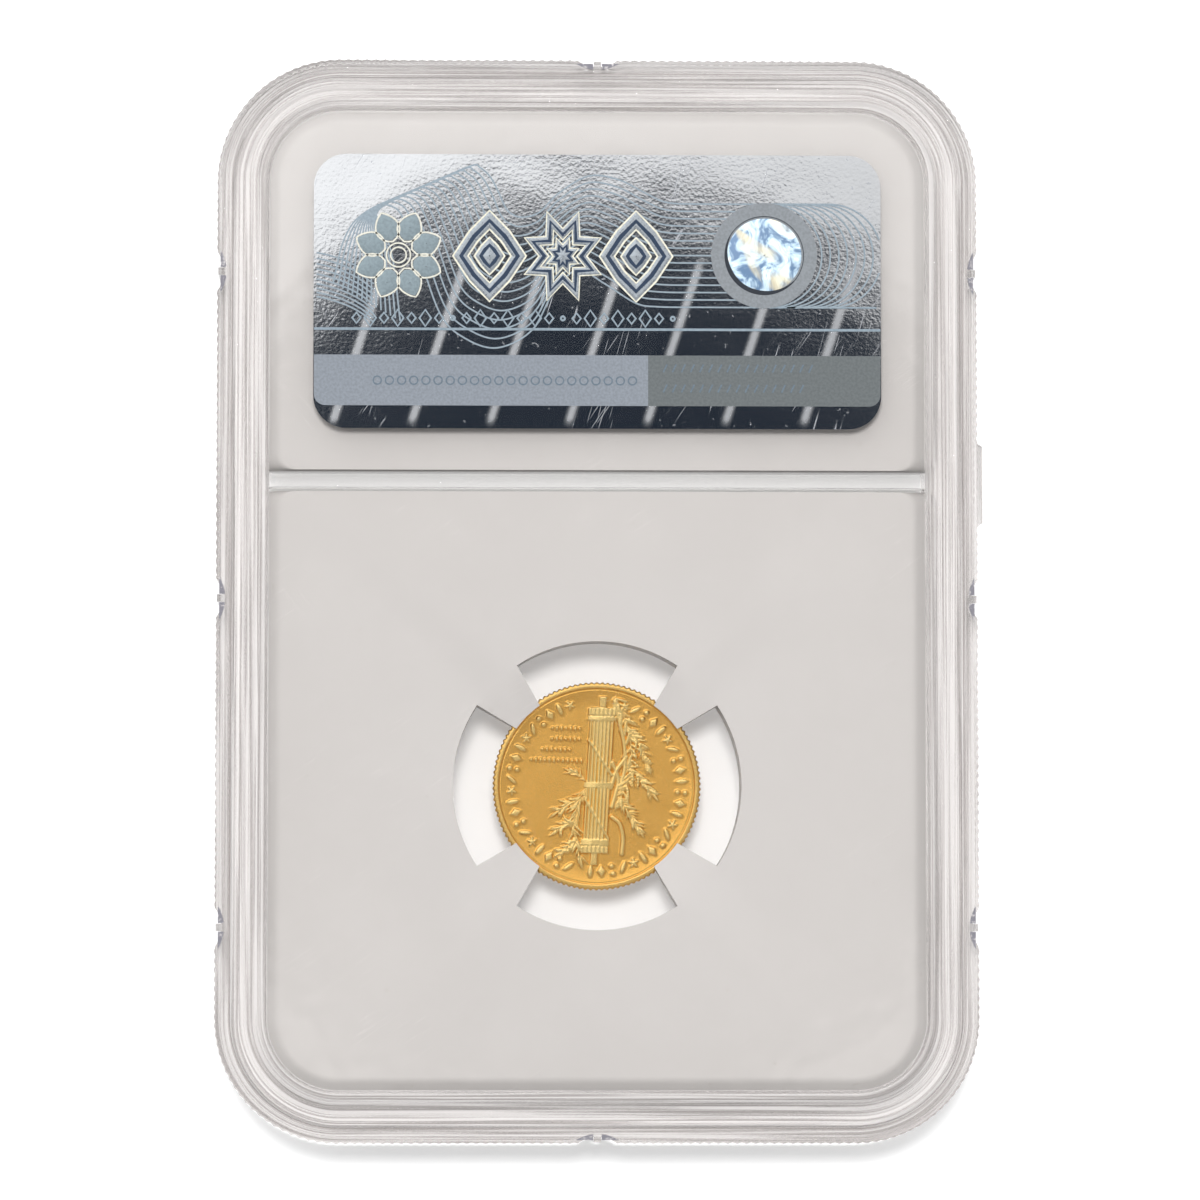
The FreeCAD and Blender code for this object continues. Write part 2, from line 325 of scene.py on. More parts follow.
# ---- Materials ----


SCOOP_WALL_SHADE = (0.2, 1.12)  # how far in the painted shade on the scoop walls of the edge reaches
RISE_SHADE_LINE = (1.17, 1.33)  # painted shade: dark line where the rim rises from the low flange
OPEN_SHADE = (0.965, 0.962, 0.96, 1)  # what flat panes let through of shadow and diffuse rays


def clear_plastic(name, haze):
    """Polished clear moulded plastic. The thick rim is duller and carries fine moulding lines."""
    s = Shader(name)
    inset = s.inset()
    rim = s.ramp(inset, RIM_WIDTH, RIM_WIDTH - 0.15)
    lines = s.along_rim(5.0, inset)
    fine_lines = s.ramp(s.along_rim(8.0, inset), 0.36, 0.62)
    # painted shade: walls between 0.2 and 1.12 mm in from the outline, where the scoops lie, are
    # coloured dark
    outer, inner = SCOOP_WALL_SHADE
    wall_shade = s.times(s.ramp(inset, outer, outer + 0.1), s.ramp(inset, inner, inner - 0.1))
    wall_shade = s.times(wall_shade, s.math("SUBTRACT", 1.0, s.flatness()))
    hairs = s.math("ADD", s.scratches(34, 0.0), s.scratches(-52, 1.5), clamp=True)
    grain = s.noise(9.0, 3.0)
    normal = s.bump(s.times(lines, rim), 0.025)
    normal = s.bump(s.noise(0.35, 1.0), 0.008, under=normal)
    normal = s.bump(hairs, 0.002, under=normal)

    streaky = s.mix(fine_lines, (0.58, 0.555, 0.545, 1), (0.83, 0.81, 0.80, 1))
    # painted shade: a thin dark line along the foot of the rim
    outer, inner = RISE_SHADE_LINE
    rise = s.times(s.ramp(inset, outer, outer + 0.04), s.ramp(inset, inner, inner - 0.05))
    streaky = s.mix(s.times(rise, 0.85), streaky, (0.27, 0.235, 0.225, 1))
    colour = s.mix(rim, (0.985, 0.98, 0.975, 1), streaky)

    from_divider = s.math("ABSOLUTE", s.math("SUBTRACT", s.axis(1), DIVIDER_Y))
    divider = s.ramp(from_divider, DIVIDER_HALF, DIVIDER_HALF - 0.1)
    milky = s.times(rim, s.ramp(fine_lines, 0.0, 1.0, 0.18, 0.3))
    milky = s.math("MAXIMUM", milky, s.times(divider, 0.14))
    body = s.principled(
        Base_Color=s.mix(s.times(wall_shade, 0.85), colour, (0.10, 0.10, 0.12, 1)),
        Roughness=s.ramp(grain, 0.3, 0.8, haze, haze + 0.05),
        IOR=1.49,
        Transmission_Weight=s.math("SUBTRACT", 1.0, milky),
        Normal=normal,
    )

    # shadow and diffuse rays pass straight through, dimmed most by the outermost walls
    walls = s.mix(s.ramp(inset, 0.5, 1.5), (0.05, 0.05, 0.05, 1), (0.8, 0.795, 0.79, 1))
    open_to_light = s.node("BsdfTransparent")
    s.put(open_to_light.inputs["Color"], s.mix(s.flatness(), walls, OPEN_SHADE))
    path = s.node("LightPath")
    light = s.math("MAXIMUM", path.outputs["Is Shadow Ray"], path.outputs["Is Diffuse Ray"])
    mix = s.node("MixShader")
    s.put(mix.inputs[0], light)
    s.put(mix.inputs[1], body.outputs[0])
    s.put(mix.inputs[2], open_to_light.outputs[0])
    return s.finish(mix.outputs[0])


def white_core(name):
    """Moulded core, soft white in this light: faint mottling, a few specks, fine matte grain."""
    s = Shader(name)
    clouds = s.noise(0.12, 3.0)
    specks = s.ramp(s.noise(1.9, 0.0), 0.82, 0.86)
    base = s.mix(clouds, (0.465, 0.445, 0.432, 1), (0.50, 0.481, 0.468, 1))
    base = s.mix(s.times(specks, 0.25), base, (0.35, 0.31, 0.28, 1))
    grain = s.noise(14.0, 4.0, 0.7)
    body = s.principled(
        Base_Color=base,
        Roughness=s.ramp(grain, 0.2, 0.8, 0.42, 0.6),
        Normal=s.bump(grain, 0.006),
    )
    return s.finish(body.outputs[0])


def painted_shade_plastic(name):
    """Dark sheet of painted shade for the scoops in the edge: rough, with pale chips."""
    s = Shader(name)
    chips = s.noise(3.2, 3.0, 0.7)
    body = s.principled(
        Base_Color=s.mix(s.ramp(chips, 0.52, 0.66), (0.17, 0.165, 0.19, 1), (0.5, 0.48, 0.48, 1)),
        Roughness=s.ramp(chips, 0.3, 0.7, 0.35, 0.6),
        Normal=s.bump(chips, 0.03),
    )
    return s.finish(body.outputs[0])


def gold(name):
    """Satin struck gold with a fine sandy grain and painted shade: darker and redder where it lies
    low, paler on the raised tops.
    """
    s = Shader(name)
    height = s.node("Attribute")
    height.attribute_name = "height"
    grain = s.noise(26.0, 4.0, 0.75)
    clouds = s.noise(0.5, 2.0)
    low = s.mix(clouds, (0.85, 0.475, 0.11, 1), (0.95, 0.55, 0.145, 1))
    # painted shade: colour runs from the low mix in the field and reed grooves to pale gold on the
    # relief's tops
    base = s.mix(s.ramp(height.outputs["Fac"], 0.15, 0.8), low, (1.0, 0.735, 0.29, 1))
    body = s.principled(
        Base_Color=base,
        Metallic=1.0,
        Roughness=s.ramp(grain, 0.25, 0.75, 0.19, 0.3),
        Normal=s.bump(grain, 0.004),
    )
    return s.finish(body.outputs[0])


# soft pale glints in the foil: straight, parallel and evenly spaced, about the label's centre
GLINT_COUNT = 7
GLINT_PITCH = 6.2
GLINT_LOW = -10.4
GLINT_HIGH = 3.4
GLINT_LEAN = 4.6  # how far a glint's upper end lies to the right of its foot
GLINT_HALF = 0.55
GLINT_FADE = 2.5  # length over which the upper end fades out


def glints(s):
    """1 in the middle of each glint, falling to 0 at its sides and past its ends."""
    rise = GLINT_HIGH - GLINT_LOW
    length = math.hypot(GLINT_LEAN, rise)
    ux = GLINT_LEAN / length
    uy = rise / length
    x = s.axis(0)
    rel_y = s.math("SUBTRACT", s.axis(1), GLINT_LOW + FOIL_CENTRE[1])
    mask = None
    for number in range(GLINT_COUNT):
        foot = (number - (GLINT_COUNT - 1) / 2) * GLINT_PITCH - GLINT_LEAN / 2
        rel_x = s.math("SUBTRACT", x, foot + FOIL_CENTRE[0])
        along = s.math("ADD", s.times(rel_x, ux), s.times(rel_y, uy))
        across = s.math("SUBTRACT", s.times(rel_x, uy), s.times(rel_y, ux))
        width = s.ramp(s.math("ABSOLUTE", across), GLINT_HALF, 0.0)
        fade = s.ramp(along, length, length - GLINT_FADE)
        inside = s.times(s.ramp(along, -0.5, 0.5), fade)
        glint = s.times(width, inside)
        mask = glint if mask is None else s.math("MAXIMUM", mask, glint)
    return mask


def foil(name):
    """Silver-blue embossed foil: orange-peel surface, hairline scratches and soft pale glints."""
    s = Shader(name)
    pale = glints(s)
    peel = s.noise(3.6, 1.0, 0.5)
    ripple = s.noise(0.16, 1.0)
    lines = s.math("ADD", s.scratches(74, 0.0, 0.72), s.scratches(56, 1.0, 0.74), clamp=True)
    specks = s.ramp(s.noise(3.1, 1.0), 0.735, 0.76)
    lines = s.math("MAXIMUM", lines, s.times(specks, 0.7))
    normal = s.bump(ripple, 0.014)
    normal = s.bump(peel, 0.0013, under=normal)
    base = s.mix(s.times(pale, 0.55), (0.52, 0.53, 0.545, 1), (0.22, 0.23, 0.25, 1))
    base = s.mix(s.times(lines, 0.4), base, (0.45, 0.48, 0.54, 1))
    matt = s.math("MAXIMUM", s.times(pale, 0.42), s.times(lines, 0.3))
    body = s.principled(
        Base_Color=base,
        Metallic=s.math("SUBTRACT", 1.0, s.times(matt, 0.9)),
        Roughness=s.ramp(matt, 0.0, 1.0, 0.05, 0.5),
        Normal=normal,
    )
    return s.finish(body.outputs[0])


def ink(name, colour, metallic=0.0, roughness=0.45):
    """Printed or foil-stamped ink with a fine even grain."""
    s = Shader(name)
    grain = s.noise(5.0, 3.0)
    darker = tuple(0.8 * c for c in colour)
    base = s.mix(s.ramp(grain, 0.3, 0.7), (*darker, 1), (*colour, 1))
    body = s.principled(
        Base_Color=base,
        Metallic=metallic,
        Roughness=s.ramp(grain, 0.3, 0.7, roughness, roughness + 0.1),
        Normal=s.bump(grain, 0.002),
    )
    return s.finish(body.outputs[0])


def lens_foil(name):
    """Bright swirled foil of the round patch, between sky blue, white and pale yellow."""
    s = Shader(name)
    swirl = s.noise(0.55, 3.0, 0.6, 1.6)
    warm = s.noise(0.4, 2.0, 0.5, 1.0, vector=s.placed(40, (1, 2.2, 1)))
    base = s.mix(s.ramp(swirl, 0.38, 0.55), (0.13, 0.22, 0.36, 1), (0.55, 0.72, 0.86, 1))
    base = s.mix(s.ramp(swirl, 0.52, 0.66), base, (0.95, 0.96, 0.95, 1))
    base = s.mix(s.times(s.ramp(warm, 0.56, 0.7), 0.6), base, (0.95, 0.80, 0.45, 1))
    body = s.principled(
        Base_Color=base,
        Metallic=0.35,
        Roughness=s.ramp(swirl, 0.2, 0.8, 0.3, 0.5),
        Coat_Weight=0.6,
        Coat_Roughness=0.05,
        Normal=s.bump(s.noise(3.0, 2.0), 0.02),
    )
    return s.finish(body.outputs[0])


def paper(name, colour):
    s = Shader(name)
    fibres = s.noise(3.0, 5.0, 0.7, vector=s.placed(20, (1, 3, 1)))
    darker = tuple(0.94 * c for c in colour)
    body = s.principled(
        Base_Color=s.mix(fibres, (*darker, 1), (*colour, 1)),
        Roughness=0.8,
        Normal=s.bump(fibres, 0.01),
    )
    return s.finish(body.outputs[0])


def paint_nodes():
    """Materials of the CAD nodes that stay."""
    painted = {
        "grading_label": paper("label_paper", (0.90, 0.885, 0.84)),
        "hologram_label": foil("silver_foil"),
        "seal_patch": ink("patch_ring", (0.235, 0.255, 0.275), 0.3, 0.4),
    }
    for node, material in painted.items():
        slots = NODES[node].data.materials
        slots.clear()
        slots.append(material)


# ---- Shells ----


def welded_copy(node):
    """An editable copy of a CAD node's mesh, with its doubled vertices merged."""
    bm = bmesh.new()
    bm.from_mesh(NODES[node].data)
    bmesh.ops.remove_doubles(bm, verts=bm.verts, dist=WELD * MM)
    return bm


def finish_moulding(bm, name, material, node):
    """Turns an edited copy of a node's mesh into the piece that replaces it."""
    for face in bm.faces:
        face.smooth = True
        face.material_index = 0
    mesh = bpy.data.meshes.new(name)
    bm.to_mesh(mesh)
    bm.free()
    if "custom_normal" in mesh.attributes:
        mesh.attributes.remove(mesh.attributes["custom_normal"])
    mesh.set_sharp_from_angle(angle=math.radians(28))
    mesh.materials.append(material)
    piece = place(name, mesh)
    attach(piece, "root")
    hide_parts(node)


def polished_shell(node, name, material):
    """A moulded shell with its mesh welded, drawn in by a hair, and smooth round its corners."""
    bm = welded_copy(node)
    bm.normal_update()
    moves = [v.normal * (HAIR * MM * v.calc_shell_factor()) for v in bm.verts]
    for v, move in zip(bm.verts, moves):
        v.co -= move
    finish_moulding(bm, name, material, node)


def loops_of(edges):
    """Closed loops of vertices from boundary edges."""
    ahead = {}
    for edge in edges:
        for a, b in (edge.verts, reversed(edge.verts)):
            ahead.setdefault(a, []).append(b)
    loops = []
    left = set(ahead)
    while left:
        start = min(left, key=lambda v: v.index)
        loop = [start]
        left.discard(start)
        while True:
            onward = [v for v in ahead[loop[-1]] if v in left]
            if not onward:
                break
            loop.append(onward[0])
            left.discard(onward[0])
        loops.append(loop)
    return loops


def within(point, outline):
    """True if a 2-D point lies inside a closed outline."""
    x, y = point
    inside = False
    for (x0, y0), (x1, y1) in zip(outline, outline[1:] + outline[:1]):
        if (y0 > y) != (y1 > y) and x < (x1 - x0) * (y - y0) / (y1 - y0) + x0:
            inside = not inside
    return inside


ROLL_OFFSETS = (0.0, 0.4, 0.8, 1.2, 1.32, 1.44, 1.56, 1.68, 1.85)
ROLL_SLOPE = 0.7
ROLL_EASE = 0.65  # length over which the slope sets in
ROLL_AT_DIVIDER = 0.05  # share of the offset that the roll takes at the divider
DIVIDER_CORNER = 1.25


def roll_depth(offset):
    """How far the face has dropped at an offset in from the edge: a flat slope that eases in."""
    u = ROLL_OFFSETS[-1] - offset
    if u < ROLL_EASE:
        return ROLL_SLOPE * u * u / (2 * ROLL_EASE)
    return ROLL_SLOPE * (u - ROLL_EASE / 2)


def take_top_face(bm, top):
    """Removes the flat upper face and returns the loops round it, the outermost first."""
    face_up = []
    for face in bm.faces:
        if face.normal.z > 0.999 and all(v.co.z > (top - 0.01) * MM for v in face.verts):
            face_up.append(face)
    kept = set(face_up)
    border = [e for f in face_up for e in f.edges if sum(g in kept for g in e.link_faces) == 1]
    loops = loops_of(border)
    loops.sort(key=lambda loop: -max(v.co.x for v in loop))
    bmesh.ops.delete(bm, geom=face_up, context="FACES_ONLY")
    return loops


def roll_ring(low, high, offset, divider_side):
    """Outline of a core's face at an offset in from its edge, and closer to it at the divider."""
    near = offset * ROLL_AT_DIVIDER
    wide = [HOLDER_CORNER - (low[0] + HOLDER_HALF[0]) - offset] * 2
    tight = [max(DIVIDER_CORNER - near, 0.3)] * 2
    left = low[0] + offset
    right = high[0] - offset
    if divider_side > 0:
        return rounded_rect((left, low[1] + offset), (right, high[1] - near), wide + tight, 20)
    return rounded_rect((left, low[1] + near), (right, high[1] - offset), tight + wide, 20)


def rolled_core(node, name, material, divider_side):
    """A white core whose face rolls down towards its outer edge, more narrowly at the divider."""
    low, high = node_box(node)
    top = high[2]
    bm = welded_copy(node)
    bm.verts.index_update()
    loops = take_top_face(bm, top)
    owners = [v for loop in loops for v in loop]
    points = []
    chains = []

    def add_chain(ring):
        start = len(points)
        n = len(ring)
        points.extend(Vector(p) for p in ring)
        chains.extend((start + i, start + (i + 1) % n) for i in range(n))
        return start

    outlines = []
    for loop in loops:
        start = add_chain([(v.co.x / MM, v.co.y / MM) for v in loop])
        outlines.append([tuple(p) for p in points[start:]])
    depths = {}
    for offset in ROLL_OFFSETS[1:]:
        start = add_chain(roll_ring(low, high, offset, divider_side))
        for i in range(start, len(points)):
            depths[i] = roll_depth(offset)
    flat, _, faces, sources, _, _ = mathutils.geometry.delaunay_2d_cdt(points, chains, [], 0, 1e-5)

    for v in loops[0]:
        v.co.z -= roll_depth(0.0) * MM
    verts = []
    for p, source in zip(flat, sources):
        first = source[0] if source else None
        if first is not None and first < len(owners):
            verts.append(owners[first])
        else:
            verts.append(bm.verts.new((p.x * MM, p.y * MM, (top - depths.get(first, 0.0)) * MM)))
    for face in faces:
        middle = sum((flat[i] for i in face), Vector((0, 0))) / len(face)
        if within(middle, outlines[0]) and not any(within(middle, hole) for hole in outlines[1:]):
            bm.faces.new([verts[i] for i in face])
    bmesh.ops.delete(bm, geom=[v for v in bm.verts if not v.link_faces], context="VERTS")
    bmesh.ops.recalc_face_normals(bm, faces=bm.faces)
    finish_moulding(bm, name, material, node)


SCOOP_SIDE_Y = 25.9
# where the scoops lie: (0, end) in the middle of each end, and (side, Y) along both sides
SCOOP_PLACES = [(0, end) for end in (-1, 1)]
SCOOP_PLACES += [(side, y) for side in (-1, 1) for y in (-SCOOP_SIDE_Y, 0, SCOOP_SIDE_Y)]
SCOOP_HALF_L = 1.7
SCOOP_OUTER = 0.3  # from the outline in to the shade web's outer edge
SCOOP_INNER = 0.78  # and to its inner edge, where the shade web is widest
SCOOP_NUB_HALF = 0.34
SCOOP_SHADE_Z = (6.85, 7.02)


def make_scoop_shade_webs():
    """Thin dark sheets of painted shade at the scoops in the edge, one on each side of every nub."""
    shade_web = painted_shade_plastic("scoop_shade_web")
    build = Build()
    low_z, high_z = SCOOP_SHADE_Z
    along = np.linspace(SCOOP_NUB_HALF, SCOOP_HALF_L - 0.05, 12)
    inner = SCOOP_OUTER + (SCOOP_INNER - SCOOP_OUTER) * (1 - (along / SCOOP_HALF_L) ** 2)
    for side, at in SCOOP_PLACES:
        for half in (-1, 1):
            rim_points = [(half * u, depth) for u, depth in zip(along, inner)]
            rim_points += [(half * along[-1], SCOOP_OUTER), (half * SCOOP_NUB_HALF, SCOOP_OUTER)]
            if side == 0:
                outline = [(u, at * (HOLDER_HALF[1] - depth)) for u, depth in rim_points]
            else:
                outline = [(side * (HOLDER_HALF[0] - depth), at + u) for u, depth in rim_points]
            turn = sum(a[0] * b[1] - b[0] * a[1] for a, b in zip(outline, outline[1:] + outline[:1]))
            if turn < 0:
                outline.reverse()
            n = len(outline)
            verts = [(x, y, z) for z in (low_z, high_z) for x, y in outline]
            faces = [tuple(reversed(range(n))), tuple(range(n, 2 * n))]
            faces += [(i, (i + 1) % n, n + (i + 1) % n, n + i) for i in range(n)]
            build.add(verts, faces)
    build.piece("scoop_shade_webs", [shade_web], "clear_plastic")


# ---- Coin ----

COIN_TURN = math.radians(-1.7)
COIN_REEDS = 118
STEPS_PER_REED = 5
FIELD_R = 7.66
FIELD_DROP = 0.25  # how far the field lies below the rim
TOP_RELIEF = 0.24
SHOULDER_R = 7.98  # where the rim starts to round over into the reeded edge
REED_DEPTH = 0.13
DEEPER = 1.8  # relief as first drawn is deepened by this


def leaf_height(x, y, px, py, angle, length, width, peak):
    """One pointed leaf with a midrib, from its stalk at px, py."""
    ca = math.cos(angle)
    sa = math.sin(angle)
    u = ((x - px) * ca + (y - py) * sa) / length
    v = (y - py) * ca - (x - px) * sa
    inside = (u > 0) & (u < 1)
    half = width * np.sin(np.pi * np.clip(u, 0, 1) ** 0.8) + 1e-6
    across = np.abs(v) / half
    body = np.sqrt(np.clip(1 - across**2, 0, 1))
    rib = 1 - 0.35 * np.exp(-((v / (0.16 * width)) ** 2))
    return np.where(inside & (across < 1), peak * body * rib, 0.0)


def rod_height(x, y, a, b, radius, peak):
    """Half-round rod between two points."""
    ax, ay = a
    bx, by = b
    dx = bx - ax
    dy = by - ay
    t = np.clip(((x - ax) * dx + (y - ay) * dy) / (dx * dx + dy * dy), 0, 1)
    d = np.hypot(x - ax - t * dx, y - ay - t * dy) / radius
    return peak * np.sqrt(np.clip(1 - d * d, 0, 1))


def line_height(x, y, line, radius, peak):
    """Half-round rods end to end along a line of points."""
    h = np.zeros_like(x)
    for a, b in zip(line[:-1], line[1:]):
        h = np.maximum(h, rod_height(x, y, a, b, radius, peak))
    return h


def box_height(x, y, low, high, peak, edge=0.09):
    """Flat-topped block with sloping sides."""
    ex = np.minimum(x - low[0], high[0] - x)
    ey = np.minimum(y - low[1], high[1] - y)
    return peak * np.clip(np.minimum(ex, ey) / edge, 0, 1)


# cross bands of the bundle: low and high Y, and whether they are ribbed
COLUMN_BANDS = [
    (5.62, 6.2, True),
    (5.2, 5.55, False),
    (-0.12, 0.3, False),
    (-4.7, -4.2, False),
    (-5.3, -4.75, True),
]


def column_height(x, y):
    """Bundle of fluted rods with cross bands, end stubs and two diagonal straps."""
    lean = 0.03 * y + 0.12
    u = x - lean
    half_w = 1.02
    turn = np.clip(u / half_w, -1, 1)
    roundness = np.sqrt(1 - 0.85 * turn**2)
    flutes = np.abs(np.cos((u / half_w) * math.pi * 3.5))
    inside = (np.abs(u) < half_w) & (y > -5.2) & (y < 6.2)
    h = np.where(inside, 0.125 * roundness - 0.055 * (1 - flutes), 0.0)
    for y0, y1, ribs in COLUMN_BANDS:
        band = (np.abs(u) < half_w + 0.1) & (y > y0) & (y < y1)
        ribbing = 0.02 * np.cos(u * math.pi * 6) if ribs else 0.0
        h = np.where(band, 0.135 * np.sqrt(1 - 0.75 * np.clip(u / 1.15, -1, 1) ** 2) + ribbing, h)
    for y0, y1 in ((-6.3, -5.2), (6.2, 7.15)):
        stub = box_height(u, y, (-0.32, y0), (0.32, y1), 0.085)
        h = np.maximum(h, stub)
    for start, end in (((-0.95, 3.6), (1.05, 0.9)), ((-0.95, -1.1), (1.05, -4.1))):
        h = np.maximum(h, rod_height(u, y, start, end, 0.13, 0.135))
    return h


# each sprig: stem points, then how far its leaves reach
SPRIGS = [
    ([(1.3, 7.0), (2.0, 5.6), (2.5, 4.1), (2.7, 2.2), (2.5, 0.6), (1.9, -0.9)], 1.15),
    ([(2.3, 4.6), (3.0, 3.9), (3.6, 2.9), (4.0, 1.8)], 0.95),
    ([(2.5, 1.6), (3.2, 0.9), (3.9, 0.2), (4.4, -0.4)], 0.95),
    ([(1.8, -0.9), (2.3, -1.6), (2.9, -2.4), (3.4, -3.2)], 1.0),
    ([(-0.9, -0.2), (-1.4, -1.3), (-1.7, -2.6), (-1.6, -4.0), (-1.2, -5.6)], 1.1),
    ([(-0.9, 0.4), (-1.5, 0.9), (-2.0, 1.1)], 0.7),
    ([(-1.4, -1.2), (-2.2, -1.5), (-3.0, -2.1)], 0.9),
    ([(-1.6, -3.0), (-2.3, -3.1), (-3.0, -3.6)], 0.85),
    ([(-1.5, -4.4), (-2.1, -4.8), (-2.7, -5.3)], 0.75),
]
RIBBONS = [
    [(1.25, 6.8), (1.7, 5.0), (2.1, 3.3), (2.2, 1.6), (1.9, 0.0)],
    [(1.2, 1.9), (1.7, 0.6), (1.5, -0.6), (1.25, -1.6)],
    [(1.3, -2.4), (1.9, -2.9), (2.2, -4.0), (2.15, -5.3)],
    [(1.15, -0.1), (1.5, 1.2), (2.3, 2.4)],
]


def sprig_height(x, y):
    """Leafy sprigs on both sides of the column."""
    rng = random.Random(5)
    h = np.zeros_like(x)
    for stem, reach in SPRIGS:
        line = smooth_curve(stem, 8)
        h = np.maximum(h, line_height(x, y, line, 0.09, 0.075))
        steps = max(5, int(len(line) / 1.7))
        for k in range(steps):
            i = min(int((k + 0.5) / steps * (len(line) - 1)), len(line) - 2)
            ahead = math.atan2(*(line[i + 1] - line[i])[::-1])
            for side in (-1, 1):
                angle = ahead + side * rng.uniform(0.25, 0.85)
                length = reach * rng.uniform(0.65, 1.15)
                peak = rng.uniform(0.07, 0.13)
                px, py = line[i]
                leaf = leaf_height(x, y, px, py, angle, length, 0.085 * length + 0.03, peak)
                h = np.maximum(h, leaf)
        ahead = math.atan2(*(line[-1] - line[-2])[::-1])
        px, py = line[-1]
        h = np.maximum(h, leaf_height(x, y, px, py, ahead, reach, 0.17 * reach, 0.1))
    for ribbon in RIBBONS:
        h = np.maximum(h, line_height(x, y, smooth_curve(ribbon, 8), 0.2, 0.09))
    return h


def ornament_ring_height(x, y):
    """Ring of leaves, lozenges, beads and stars, where a coin carries its legend."""
    h = np.zeros_like(x)
    count = 48
    for k in range(count):
        a = 2 * math.pi * (k + 0.5) / count + 0.02
        if 1.35 < a < 1.85 or k in (11, 34):
            continue
        radial = np.array([math.cos(a), math.sin(a)])
        u = -x * radial[1] + y * radial[0]
        v = x * radial[0] + y * radial[1] - 6.72
        near = v > -2
        kind = k % 5
        if kind == 0:
            shape = 2.5 * (1 - np.hypot(u / 0.22, v / 0.55))
        elif kind == 1:
            shape = 2.5 * (1 - (np.abs(u) / 0.38 + np.abs(v) / 0.56))
        elif kind == 2:
            shape = 1.8 * (1 - np.hypot(u, np.abs(v) - 0.3) / 0.24)
        elif kind == 3:
            leaf_u = u * 0.8 + v * 0.6
            leaf_v = v * 0.8 - u * 0.6
            shape = 2.5 * (1 - np.hypot(leaf_u / 0.19, leaf_v / 0.56))
        else:
            r = np.hypot(u, v)
            points = 0.3 + 0.13 * np.cos(5 * np.arctan2(v, u))
            shape = (points - r) / 0.08
        h = np.maximum(h, np.where(near, 0.085 * np.clip(shape, 0, 1) ** 0.6, 0))
    return h


BEAD_PITCH = 0.36
# rows of beads: first and last X, then Y
BEAD_ROWS = [(-3.8, -1.2, 4.5), (-3.8, -1.2, 3.65), (-4.55, -2.0, 2.8), (-5.4, -0.98, 1.95)]


def bead_rows_height(x, y):
    """Four short rows of fine beads left of the column, where a coin carries a motto."""
    h = np.zeros_like(x)
    for x0, x1, row_y in BEAD_ROWS:
        for i in range(int((x1 - x0) / BEAD_PITCH)):
            cx = x0 + (i + 0.5) * BEAD_PITCH
            tall = 0.23 if i % 3 else 0.16
            bead = 1 - np.hypot((x - cx) / 0.13, (y - row_y) / tall)
            h = np.maximum(h, 0.075 * np.clip(bead * 2.2, 0, 1) ** 0.7)
    return h


def reverse_height(x, y):
    """Height of the coin's reverse above its field."""
    h = column_height(x, y)
    for relief in (sprig_height, ornament_ring_height, bead_rows_height):
        h = np.maximum(h, relief(x, y))
    dish = 0.03 * np.clip((np.hypot(x, y) - 6.2) / 1.4, 0, 1) ** 2
    return h + dish


def obverse_height(x, y):
    """Wreath of leaves round a plain star."""
    h = np.zeros_like(x)
    for k in range(26):
        a = 2 * math.pi * (k + 0.5) / 26
        px = 5.6 * math.cos(a)
        py = 5.6 * math.sin(a)
        for side in (-1, 1):
            angle = a + math.pi / 2 + side * 0.5
            h = np.maximum(h, leaf_height(x, y, px, py, angle, 1.3, 0.24, 0.1))
    r = np.hypot(x, y)
    a = np.arctan2(y, x)
    fold = np.abs((a * 8 / (2 * math.pi)) % 1 - 0.5) * 2
    star = (2.1 + 1.7 * (1 - fold) - r) / 1.2
    return np.maximum(h, 0.12 * np.clip(star, 0, 1))


def rim_height(r):
    """Cross-section of the raised rim, as height above the field."""
    rise = np.clip((r - FIELD_R) / 0.13, 0, 1)
    rise = rise * rise * (3 - 2 * rise)
    fall = np.clip((r - SHOULDER_R) / (COIN_R - SHOULDER_R), 0, 1)
    return FIELD_DROP * rise - 0.13 * fall**1.6


